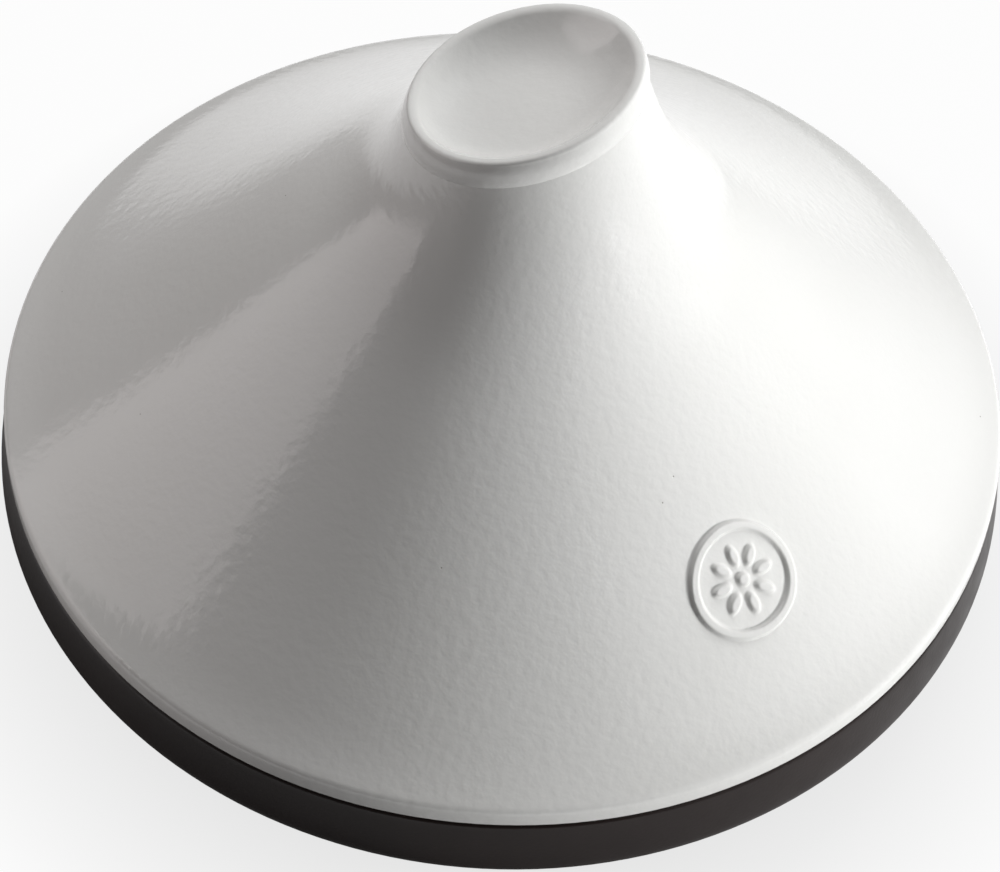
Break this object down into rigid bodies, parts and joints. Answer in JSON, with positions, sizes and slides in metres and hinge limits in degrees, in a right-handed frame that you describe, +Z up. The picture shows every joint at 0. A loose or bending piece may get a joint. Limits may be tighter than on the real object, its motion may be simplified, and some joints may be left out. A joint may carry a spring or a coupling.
{
  "type": "tagine",
  "caption": "Round ceramic tagine: a shallow dark base dish and a white conical lid with a slanted, dished knob and a small moulded medallion; the lid lifts off to fill, cook and serve.",
  "frame": {"origin": "centre of the plane that the foot ring stands on", "axes": "+Z up along the axis of the dish and lid; the knob's low side faces -X and its high side faces +X"},
  "size_m": [0.321, 0.321, 0.2167],
  "materials": {
    "dark_glaze": "satin brown-black glaze",
    "white_glaze": "glossy white glaze with a fine orange-peel surface"
  },
  "bodies": {
    "base": {"base_dish": "dark_glaze"},
    "lid": {"lid": "white_glaze"}
  },
  "joints": [
    {"name": "lid_lift", "type": "slide", "parent": "base", "child": "lid", "axis": [0, 0, 1], "range_m": [0, 0.2]}
  ]
}
